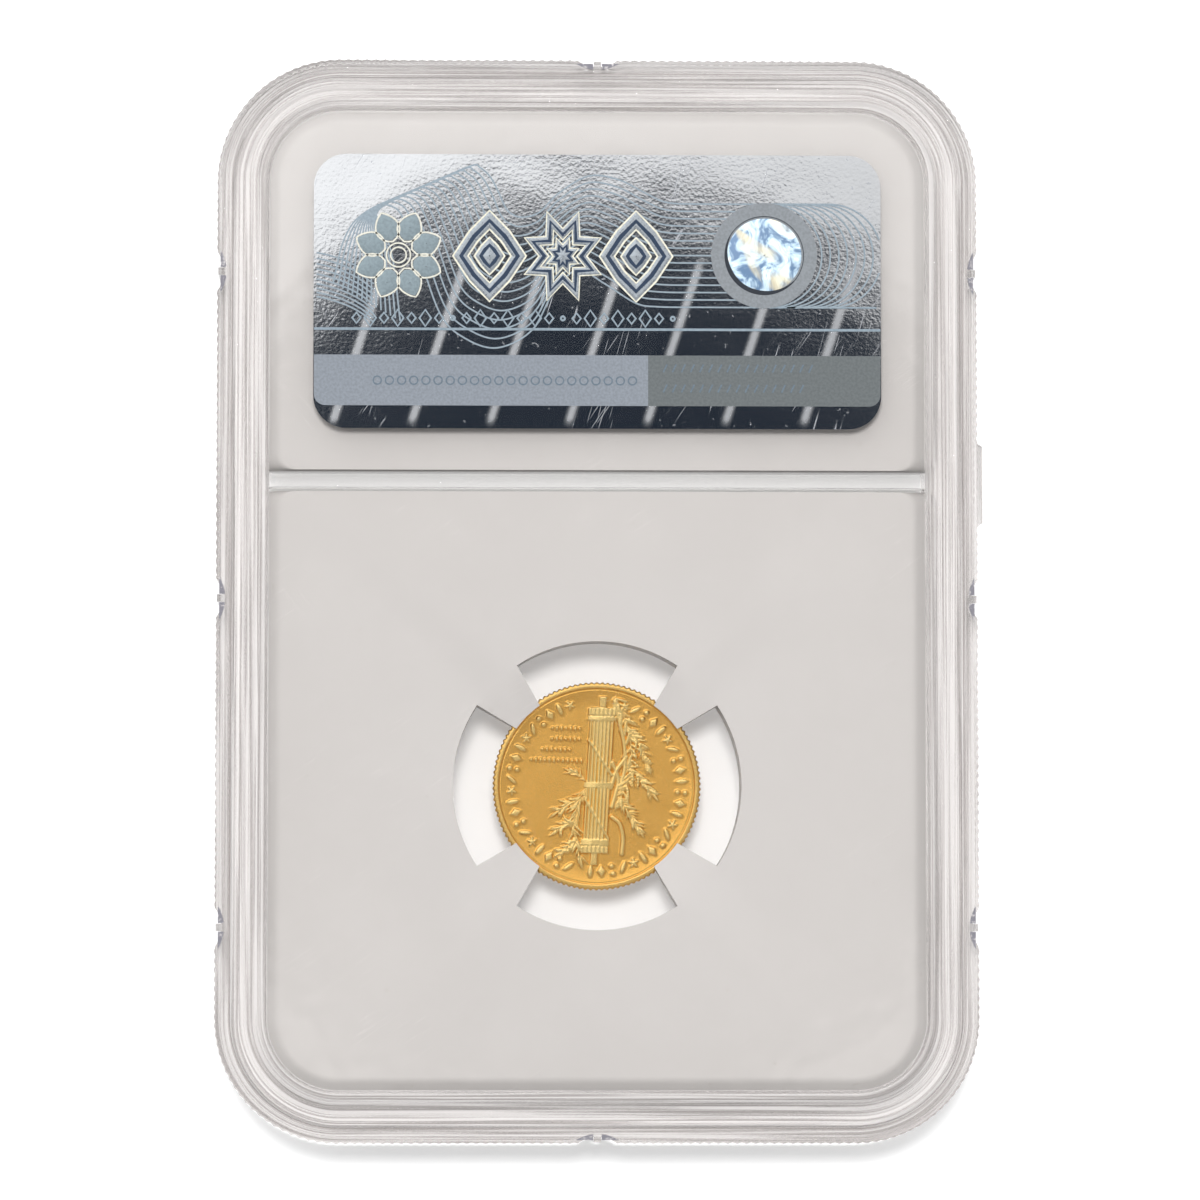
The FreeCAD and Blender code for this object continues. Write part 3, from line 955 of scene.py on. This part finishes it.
def make_coin():
    """Struck coin as one turned grid: reverse, reeded edge and obverse."""
    around = COIN_REEDS * STEPS_PER_REED
    theta = np.linspace(0, 2 * math.pi, around, endpoint=False)
    reed = 0.5 - 0.5 * np.cos(theta * COIN_REEDS)
    shoulder = np.linspace(SHOULDER_R, COIN_R, 5)
    top_rings = np.concatenate([np.arange(0.06, SHOULDER_R - 0.03, 0.062), shoulder])
    low_rings = np.concatenate([shoulder[::-1], np.arange(SHOULDER_R - 0.1, 0.2, -0.16)])
    field = COIN_HALF_T - FIELD_DROP
    rings = []

    def face_ring(r, height, sign):
        out = np.clip((r - SHOULDER_R) / (COIN_R - SHOULDER_R), 0, 1)
        toothed = r - REED_DEPTH * reed * out
        x = toothed * np.cos(theta)
        y = toothed * np.sin(theta)
        relief = height(x, y) if r < FIELD_R else np.zeros_like(x)
        relief = np.minimum(relief * DEEPER, TOP_RELIEF)
        z = sign * (field + relief + rim_height(r))
        # how high a point stands, which the gold's painted shade follows
        tall = (relief + 0.45 * rim_height(r)) / FIELD_DROP
        rings.append((x, y, z, tall))

    for r in top_rings:
        face_ring(r, reverse_height, 1)
    wall = COIN_R - REED_DEPTH * reed
    # the edge's reed grooves are given low values, so the painted shade darkens them
    for z in (COIN_HALF_T - 0.2, 0.0, 0.2 - COIN_HALF_T):
        rings.append((wall * np.cos(theta), wall * np.sin(theta), np.full_like(theta, z), 0.6 - reed))
    for r in low_rings:
        face_ring(r, obverse_height, -1)

    turn_c = math.cos(COIN_TURN)
    turn_s = math.sin(COIN_TURN)
    verts = []
    shade_heights = []
    for x, y, z, tall in rings:
        turned_x = x * turn_c - y * turn_s + COIN_CENTRE[0]
        turned_y = x * turn_s + y * turn_c + COIN_CENTRE[1]
        verts.extend(zip(turned_x, turned_y, z + COIN_CENTRE[2]))
        shade_heights.extend(tall)
    faces = []
    for k in range(len(rings) - 1):
        row = k * around
        for i in range(around):
            j = (i + 1) % around
            faces.append((row + i, row + around + i, row + around + j, row + j))
    last = (len(rings) - 1) * around
    faces.append(tuple(range(around)))
    faces.append(tuple(last + i for i in reversed(range(around))))

    build = Build()
    build.add(verts, faces)
    coin = build.piece("struck_coin", [gold("satin_gold")], "coin_gold", smooth=True)
    tall = coin.data.attributes.new("height", "FLOAT", "POINT")
    tall.data.foreach_set("value", shade_heights)
    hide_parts("coin")


# ---- Foil label's printed pattern ----


def on_foil(points):
    """Points about the foil's centre moved to their place in the frame."""
    return np.asarray(points, float) + FOIL_CENTRE[:2]


def inside_foil(points, margin=0.12):
    """Runs of consecutive points that lie within the foil's rounded outline."""
    half = FOIL_HALF[:2] - margin
    corner = 2.6 - margin
    runs = [[]]
    for p in points:
        over = np.maximum(np.abs(p) - (half - corner), 0)
        if np.hypot(*over) <= corner:
            runs[-1].append(p)
        elif runs[-1]:
            runs.append([])
    return [run for run in runs if len(run) > 1]


def rounded_rect(low, high, radii, n=8):
    """Outline with a radius per corner: low left, low right, high right, high left."""
    centres = [
        (low[0], low[1], 1, 1, 180),
        (high[0], low[1], -1, 1, 270),
        (high[0], high[1], -1, -1, 0),
        (low[0], high[1], 1, -1, 90),
    ]
    out = []
    for (x, y, sx, sy, start), r in zip(centres, radii):
        if r == 0:
            out.append((x, y))
            continue
        for a in np.radians(np.linspace(start, start + 90, n)):
            out.append((x + sx * r + r * math.cos(a), y + sy * r + r * math.sin(a)))
    return out


def make_bands():
    """Two flat bands across the label's low part and the two thin rules above them."""
    grey_blue = ink("band_grey_blue", (0.225, 0.25, 0.285), 0.25, 0.4)
    grey_green = ink("band_grey_green", (0.125, 0.14, 0.145), 0.25, 0.4)
    rule = ink("rule_blue", (0.23, 0.29, 0.34), 0.2, 0.4)
    z = FOIL_TOP + INK_LIFT
    edge = FOIL_HALF[0] - 0.05
    split = 4.0
    build = Build()
    left = rounded_rect((-edge, -9.09), (split, -5.07), (0.9, 0, 0, 0))
    right = rounded_rect((split, -9.09), (edge, -5.07), (0, 0.9, 0, 0))
    build.fill(on_foil(left), z, 0)
    build.fill(on_foil(right), z, 1)
    build.strip(on_foil([(-edge, -3.02), (edge, -3.02)]), 0.2, z + 0.038, 2)
    build.strip(on_foil([(12.6, -1.23), (edge - 0.3, -1.23)]), 0.13, z + 0.036, 2)
    build.piece("foil_bands", [grey_blue, grey_green, rule], "label_foil")


def between(a, b, t):
    return (a[0] + (b[0] - a[0]) * t, a[1] + (b[1] - a[1]) * t)


def wave_line(t):
    """One of the flowing lines that cross the label, from t = 0 outermost to t = 1 innermost."""
    crest = between((-10.1, 9.95), (-17.1, 6.85), t)
    points = [
        between((-20.9, 0.6), (-15.6, -2.4), t),
        between((-20.0, 4.2), (-16.3, 3.0), t),
        between((-18.3, 6.3), (-17.4, 5.6), t),
        between((-17.9, 6.5), crest, 0.5),
        crest,
        (crest[0] + 0.8, crest[1] - 0.12),
        (crest[0] + 1.6, crest[1] - 0.85),
        between((-7.85, 7.9), (-14.2, 3.0), t),
        between((-7.25, 6.6), (-12.4, -1.9), t),
        between((-6.7, 6.1), (-10.4, -3.8), t),
        between((-5.9, 5.9), (-7.9, -4.5), t),
        between((-4.6, 6.3), (-5.2, -3.1), t),
        between((-3.1, 7.8), (-3.5, -0.1), t),
        between((-0.7, 9.2), (-1.6, 1.7), t),
        between((1.7, 8.9), (0.6, 0.6), t),
        between((3.9, 7.8), (3.0, -0.9), t),
        between((5.6, 7.1), (4.8, -1.2), t),
        between((8.6, 7.0), (8.6, -1.23), t),
        between((12.6, 7.0), (12.6, -1.23), t),
    ]
    return smooth_curve(points, 9)


def make_guilloche():
    """The flowing line work: a family of waves, one of low arcs and one of swept half circles."""
    line_ink = ink("line_blue", (0.27, 0.33, 0.38), 0.35, 0.35)
    z = FOIL_TOP + INK_LIFT
    families = [wave_line(t) for t in np.linspace(0, 1, 15)]
    for k in range(10):
        drop = 0.46 * k - 0.008 * k * k
        arc = [(-22.7, 3.1), (-21.4, 2.85), (-20.0, 2.4), (-18.8, 1.8), (-17.7, 1.0)]
        families.append(smooth_curve([(x, y - drop) for x, y in arc], 8))
    a = np.linspace(math.pi / 2, -math.pi / 2, 44)
    for k in range(11):
        x = 11.6 + 0.68 * k
        families.append(np.stack([x + 4.13 * np.cos(a), 2.88 + 4.13 * np.sin(a)], axis=1))
    families.append(np.array([(12.6, 7.01), (18.6, 7.01)]))
    build = Build()
    for k, line in enumerate(families):
        for run in inside_foil(line):
            build.strip(on_foil(run), 0.125, z + 0.0012 * k)
    build.piece("foil_line_work", [line_ink], "label_foil")


# big ornaments: centre X, long and short radius, points, turn, and how much each is narrowed
ORNAMENTS = [
    (-8.55, 3.55, 2.75, 4, 0.0, 0.80),
    (-2.75, 3.75, 2.15, 8, math.pi / 8, 0.86),
    (3.05, 3.55, 2.75, 4, 0.0, 0.80),
]
ORNAMENT_Y = 2.8
# bevelled frame and core: size of each loop and how far it is raised
ORNAMENT_BEVELS = [
    [(1.0, 0.0), (0.93, 0.05), (0.70, 0.05), (0.62, 0.0)],
    [(0.40, 0.0), (0.33, 0.05), (0.02, 0.09)],
]
# outlines, and dark strips of painted shade along the bevels: size, line width, how far raised, and
# material number
ORNAMENT_LINES = [
    (1.02, 0.15, 0.012, 1),
    (0.60, 0.15, 0.012, 1),
    (0.42, 0.15, 0.012, 1),
    # dark strips of painted shade in the middle of the frame and of the core
    (0.79, 0.34, 0.054, 2),
    (0.24, 0.3, 0.075, 2),
]


def star_loop(centre_x, long_r, short_r, points, turn, narrow, size):
    """Outline of a narrowed star or lozenge on the foil, scaled about its centre."""
    out = []
    for i in range(2 * points):
        r = (short_r if i % 2 else long_r) * size
        a = turn + math.pi * i / points
        out.append((centre_x + narrow * r * math.cos(a), ORNAMENT_Y + r * math.sin(a)))
    return on_foil(out)


def make_ornaments():
    """Three large bevelled ornaments, a lozenge, a star and a lozenge, with pale outlines and dark
    strips of painted shade along their bevels.
    """
    bevel = ink("ornament_bevel", (0.40, 0.44, 0.48), 0.8, 0.25)
    bevel_shade = ink("ornament_bevel_shade", (0.03, 0.05, 0.09), 0.5, 0.3)
    outline = ink("outline_cream", (0.72, 0.70, 0.58), 0.2, 0.4)
    z = FOIL_TOP + INK_LIFT + 0.032
    build = Build()
    for shape in ORNAMENTS:
        for loops in ORNAMENT_BEVELS:
            rings = []
            for size, lift in loops:
                rings.append([(x, y, z + lift) for x, y in star_loop(*shape, size)])
            build.band(rings, 0)
        for size, width, lift, slot in ORNAMENT_LINES:
            build.strip(star_loop(*shape, size), width, z + lift, slot, closed=True)
    build.piece("foil_ornaments", [bevel, outline, bevel_shade], "label_foil")


def make_rosette():
    """Outlined rosette of petals at the label's left."""
    petal_ink = ink("rosette_grey", (0.24, 0.30, 0.33), 0.5, 0.3)
    outline = ink("rosette_cream", (0.64, 0.63, 0.55), 0.2, 0.4)
    z = FOIL_TOP + INK_LIFT + 0.032
    centre = np.array([-15.75, 2.85])
    build = Build()
    petals = 8
    for k in range(petals):
        a = 2 * math.pi * k / petals + math.pi / 8
        along = np.array([math.cos(a), math.sin(a)])
        side = np.array([-along[1], along[0]])
        t = np.linspace(0, 1, 16)
        reach = 1.15 + 2.45 * t
        half = 0.95 * np.sin(math.pi * t**0.85) ** 0.75
        left = [centre + along * r + side * w for r, w in zip(reach, half)]
        right = [centre + along * r - side * w for r, w in zip(reach[-2:0:-1], half[-2:0:-1])]
        loop = on_foil(left + right)
        middle = loop.mean(axis=0)
        raised = [(x, y, z + 0.02) for x, y in middle + 0.62 * (loop - middle)]
        flat = [(x, y, z) for x, y in middle + 0.9 * (loop - middle)]
        peak = [(x, y, z + 0.035) for x, y in middle + 0.03 * (loop - middle)]
        build.band([flat, raised, peak], 0)
        build.strip(loop, 0.13, z + 0.012, 1, closed=True)
    for r in (0.95, 0.62):
        build.strip(on_foil(circle(*centre, r, 40)), 0.12, z + 0.012, 1, closed=True)
    build.piece("foil_rosette", [petal_ink, outline], "label_foil")


def make_small_row():
    """Row of small lozenges under the ornaments, and faint rows of rings and ticks on the bands."""
    row_ink = ink("row_blue", (0.25, 0.31, 0.36), 0.3, 0.4)
    faint = ink("row_faint", (0.13, 0.17, 0.21), 0.25, 0.45)
    z = FOIL_TOP + INK_LIFT
    build = Build()
    count = 24
    pitch = 26.1 / count
    y = -2.15
    for i in range(count):
        x = -19.6 + (i + 0.5) * pitch
        if i % 8 == 7:
            build.strip(on_foil(circle(x, y, 0.16, 16)), 0.16, z + 0.034, 0, closed=True)
            continue
        wide, tall = (0.46, 0.66) if i % 2 else (0.34, 0.42)
        loop = [(x - wide, y), (x, y - tall), (x + wide, y), (x, y + tall)]
        build.strip(on_foil(loop), 0.17, z + 0.034, 0, closed=True)
    for i in range(22):
        x = -17.4 + 0.96 * i
        build.strip(on_foil(circle(x, -7.1, 0.32, 20)), 0.12, z + 0.01, 1, closed=True)
    for row, low in enumerate((-6.4, -8.0)):
        for i in range(17 - row):
            x = 5.2 + 0.72 * i
            build.strip(on_foil([(x, low), (x + 0.3, low + 0.62)]), 0.13, z + 0.01, 1)
    build.piece("foil_small_rows", [row_ink, faint], "label_foil")


def make_patch_lens():
    """Domed bright lens in the round patch, with a dark crescent of painted shadow at its low left and
    a fine ring.
    """
    lens = lens_foil("lens_foil")
    dark = ink("lens_shadow", (0.02, 0.025, 0.035), 0.2, 0.4)
    z = PATCH_HIGH[2]
    cx, cy = PATCH_CENTRE[:2]
    build = Build()
    loops = []
    for r, lift in ((2.95, -0.012), (2.85, 0.02), (2.2, 0.06), (1.2, 0.085), (0.05, 0.09)):
        loops.append([(x, y, z + lift) for x, y in circle(cx, cy, r, 96)])
    build.band(loops, 0)
    n = 50
    width = 0.02 + 0.34 * np.sin(math.pi * np.linspace(0, 1, n))
    outer = []
    inner = []
    for a, w in zip(np.radians(np.linspace(150, 320, n)), width):
        outer.append((cx + 3.1 * math.cos(a), cy + 3.1 * math.sin(a), z + 0.024))
        inner.append((cx + (3.1 - w) * math.cos(a), cy + (3.1 - w) * math.sin(a), z + 0.024))
    faces = [(i, i + 1, n + 1 + i, n + i) for i in range(n - 1)]
    build.add(outer + inner, faces, 1)
    build.strip(circle(cx, cy, 3.12, 96), 0.06, z + 0.005, 1, closed=True)
    build.piece("patch_lens", [lens, dark], "patch_foil", smooth=True)


# ---- Paper label's print ----


def make_paper_print():
    """Plain printed layout on the paper label, seen through the front window: frame, bars, code."""
    blue = ink("print_blue", (0.05, 0.12, 0.32), 0.0, 0.6)
    black = ink("print_black", (0.03, 0.03, 0.035), 0.0, 0.6)
    gold_ink = ink("print_gold", (0.45, 0.31, 0.10), 0.6, 0.35)
    z = PAPER_LOW[2] - INK_LIFT
    half = PAPER_HALF[:2]
    centre = PAPER_CENTRE[:2]
    build = Build()

    def at(points):
        mirrored = [(-x, y) for x, y in points]  # read from below
        return np.array(mirrored) + centre

    border = half - 0.9
    build.strip(at(rounded_rect(-border, border, (1.4,) * 4)), 0.35, z, 0, closed=True)
    build.strip(at(rounded_rect(-border + 0.6, border - 0.6, (1.0,) * 4)), 0.12, z, 2, closed=True)
    for y, length, width in ((7.2, 20.0, 1.6), (4.2, 15.0, 1.1), (1.6, 17.5, 1.1), (-1.0, 12.0, 1.1)):
        build.strip(at([(-20.5, y), (-20.5 + length, y)]), width, z, 1)
    rng = random.Random(11)
    x = 4.0
    while x < 20.5:
        width = rng.choice((0.18, 0.3, 0.45))
        build.strip(at([(x, -8.6), (x, -4.2)]), width, z, 1)
        x += width / 2 + rng.choice((0.3, 0.45, 0.6))
    for r, width in ((4.4, 0.25), (3.6, 0.12)):
        build.strip(at(circle(14.0, 4.6, r)), width, z, 2, closed=True)
    star = []
    for i in range(16):
        r = 1.3 if i % 2 else 3.1
        a = math.pi / 2 + math.pi * i / 8
        star.append((14.0 + r * math.cos(a), 4.6 + r * math.sin(a)))
    build.fill(at(star), z, 0)
    build.piece("paper_print", [blue, black, gold_ink], "label_paper")


# ---- Stage, light and camera ----


def make_floor():
    """Plain pale floor, just below the holder."""
    s = Shader("stage_white")
    cloud = s.noise(0.004, 2.0)
    base = s.mix(cloud, (0.79, 0.79, 0.79, 1), (0.82, 0.82, 0.82, 1))
    body = s.principled(
        Base_Color=base,
        Roughness=0.9,
        Emission_Color=(1, 1, 1, 1),
        Emission_Strength=0.31,
    )
    half = 3000.0
    z = -0.02
    build = Build()
    build.add([(-half, -half, z), (half, -half, z), (half, half, z), (-half, half, z)], [(0, 1, 2, 3)])
    floor = place("floor", build.mesh("floor", [s.finish(body.outputs[0])]))


def make_world():
    """Pale dome, brighter low down and beyond the label's end, with panels and a dark patch above."""
    world = bpy.data.worlds.new("studio")
    bpy.context.scene.world = world
    world.use_nodes = True
    tree = world.node_tree
    tree.nodes.clear()
    out = tree.nodes.new("ShaderNodeOutputWorld")
    background = tree.nodes.new("ShaderNodeBackground")
    coords = tree.nodes.new("ShaderNodeTexCoord")
    tree.links.new(background.outputs[0], out.inputs[0])

    def toward(direction, outer, inner):
        """1 within the inner angle of a direction and 0 beyond the outer one, in degrees."""
        dot = tree.nodes.new("ShaderNodeVectorMath")
        dot.operation = "DOT_PRODUCT"
        dot.inputs[1].default_value = Vector(direction).normalized()
        tree.links.new(coords.outputs["Generated"], dot.inputs[0])
        node = tree.nodes.new("ShaderNodeMapRange")
        node.interpolation_type = "SMOOTHSTEP"
        tree.links.new(dot.outputs["Value"], node.inputs[0])
        node.inputs[1].default_value = math.cos(math.radians(outer))
        node.inputs[2].default_value = math.cos(math.radians(inner))
        return node.outputs[0]

    def combine(operation, *values):
        node = tree.nodes.new("ShaderNodeMath")
        node.operation = operation
        for socket, value in zip(node.inputs, values):
            if isinstance(value, float):
                socket.default_value = value
            else:
                tree.links.new(value, socket)
        return node.outputs[0]

    left_panel = toward((-0.10, 0.21, 1.0), 14, 3)
    right_panel = toward((0.19, 0.18, 1.0), 8, 2)
    low_sky = toward((0, 0, -1), 125, 95)
    north_sky = toward((-0.35, 1.0, 0.45), 72, 15)
    patch = toward((0.028, 0.061, 1.0), 4.6, 4.0)
    level = combine("MULTIPLY_ADD", low_sky, 0.15, 0.58)
    level = combine("MULTIPLY_ADD", north_sky, 1.05, level)
    level = combine("MULTIPLY_ADD", left_panel, 1.0, level)
    level = combine("MULTIPLY_ADD", right_panel, 0.4, level)
    mix = tree.nodes.new("ShaderNodeMix")
    mix.data_type = "RGBA"
    mix.inputs["B"].default_value = (0.03, 0.041, 0.06, 1)
    tree.links.new(patch, mix.inputs["Factor"])
    tree.links.new(level, mix.inputs["A"])
    tree.links.new(mix.outputs["Result"], background.inputs["Color"])


def make_key_light():
    """Large soft box high over the label's end."""
    light = bpy.data.lights.new("key", "AREA")
    light.shape = "DISK"
    light.size = 0.28
    light.energy = 11.5
    key = place("key", light)
    key.visible_glossy = False
    key.visible_transmission = False
    away = Vector((-0.03, 0.21, 1.0)).normalized()
    key.location = away * 1.2
    key.rotation_euler = away.to_track_quat("Z", "Y").to_euler()


def make_camera():
    """Long lens above the holder, a little towards its low left corner."""
    distance = 490 * MM
    field = 94.65 * MM
    camera_data = bpy.data.cameras.new("camera")
    camera_data.lens = camera_data.sensor_width * distance / field
    camera_data.clip_start = 0.01
    camera = place("camera", camera_data)
    target = Vector((0.2, -0.1, 7.0)) * MM
    lean_x = math.radians(-1.7)
    lean_y = math.radians(-4.0)
    away = Vector((math.tan(lean_x), math.tan(lean_y), 1)).normalized()
    camera.location = target + away * distance
    right = Vector((0, 1, 0)).cross(away).normalized()
    up = away.cross(right)
    basis = camera.matrix_world.to_3x3()
    basis.col[0] = right
    basis.col[1] = up
    basis.col[2] = away
    camera.rotation_euler = basis.to_euler()
    bpy.context.scene.camera = camera


def make_all():
    bpy.context.scene.view_settings.view_transform = "Standard"
    paint_nodes()
    polished_shell("back_shell", "clear_back_shell", clear_plastic("clear_back", 0.012))
    polished_shell("front_shell", "clear_front_shell", clear_plastic("clear_front", 0.02))
    core = white_core("white_core")
    rolled_core("coin_insert", "rolled_coin_insert", core, 1)
    rolled_core("label_carrier", "rolled_label_carrier", core, -1)
    make_scoop_shade_webs()
    make_coin()
    make_bands()
    make_guilloche()
    make_ornaments()
    make_rosette()
    make_small_row()
    make_patch_lens()
    make_paper_print()
    make_floor()
    make_world()
    make_key_light()
    make_camera()


make_all()
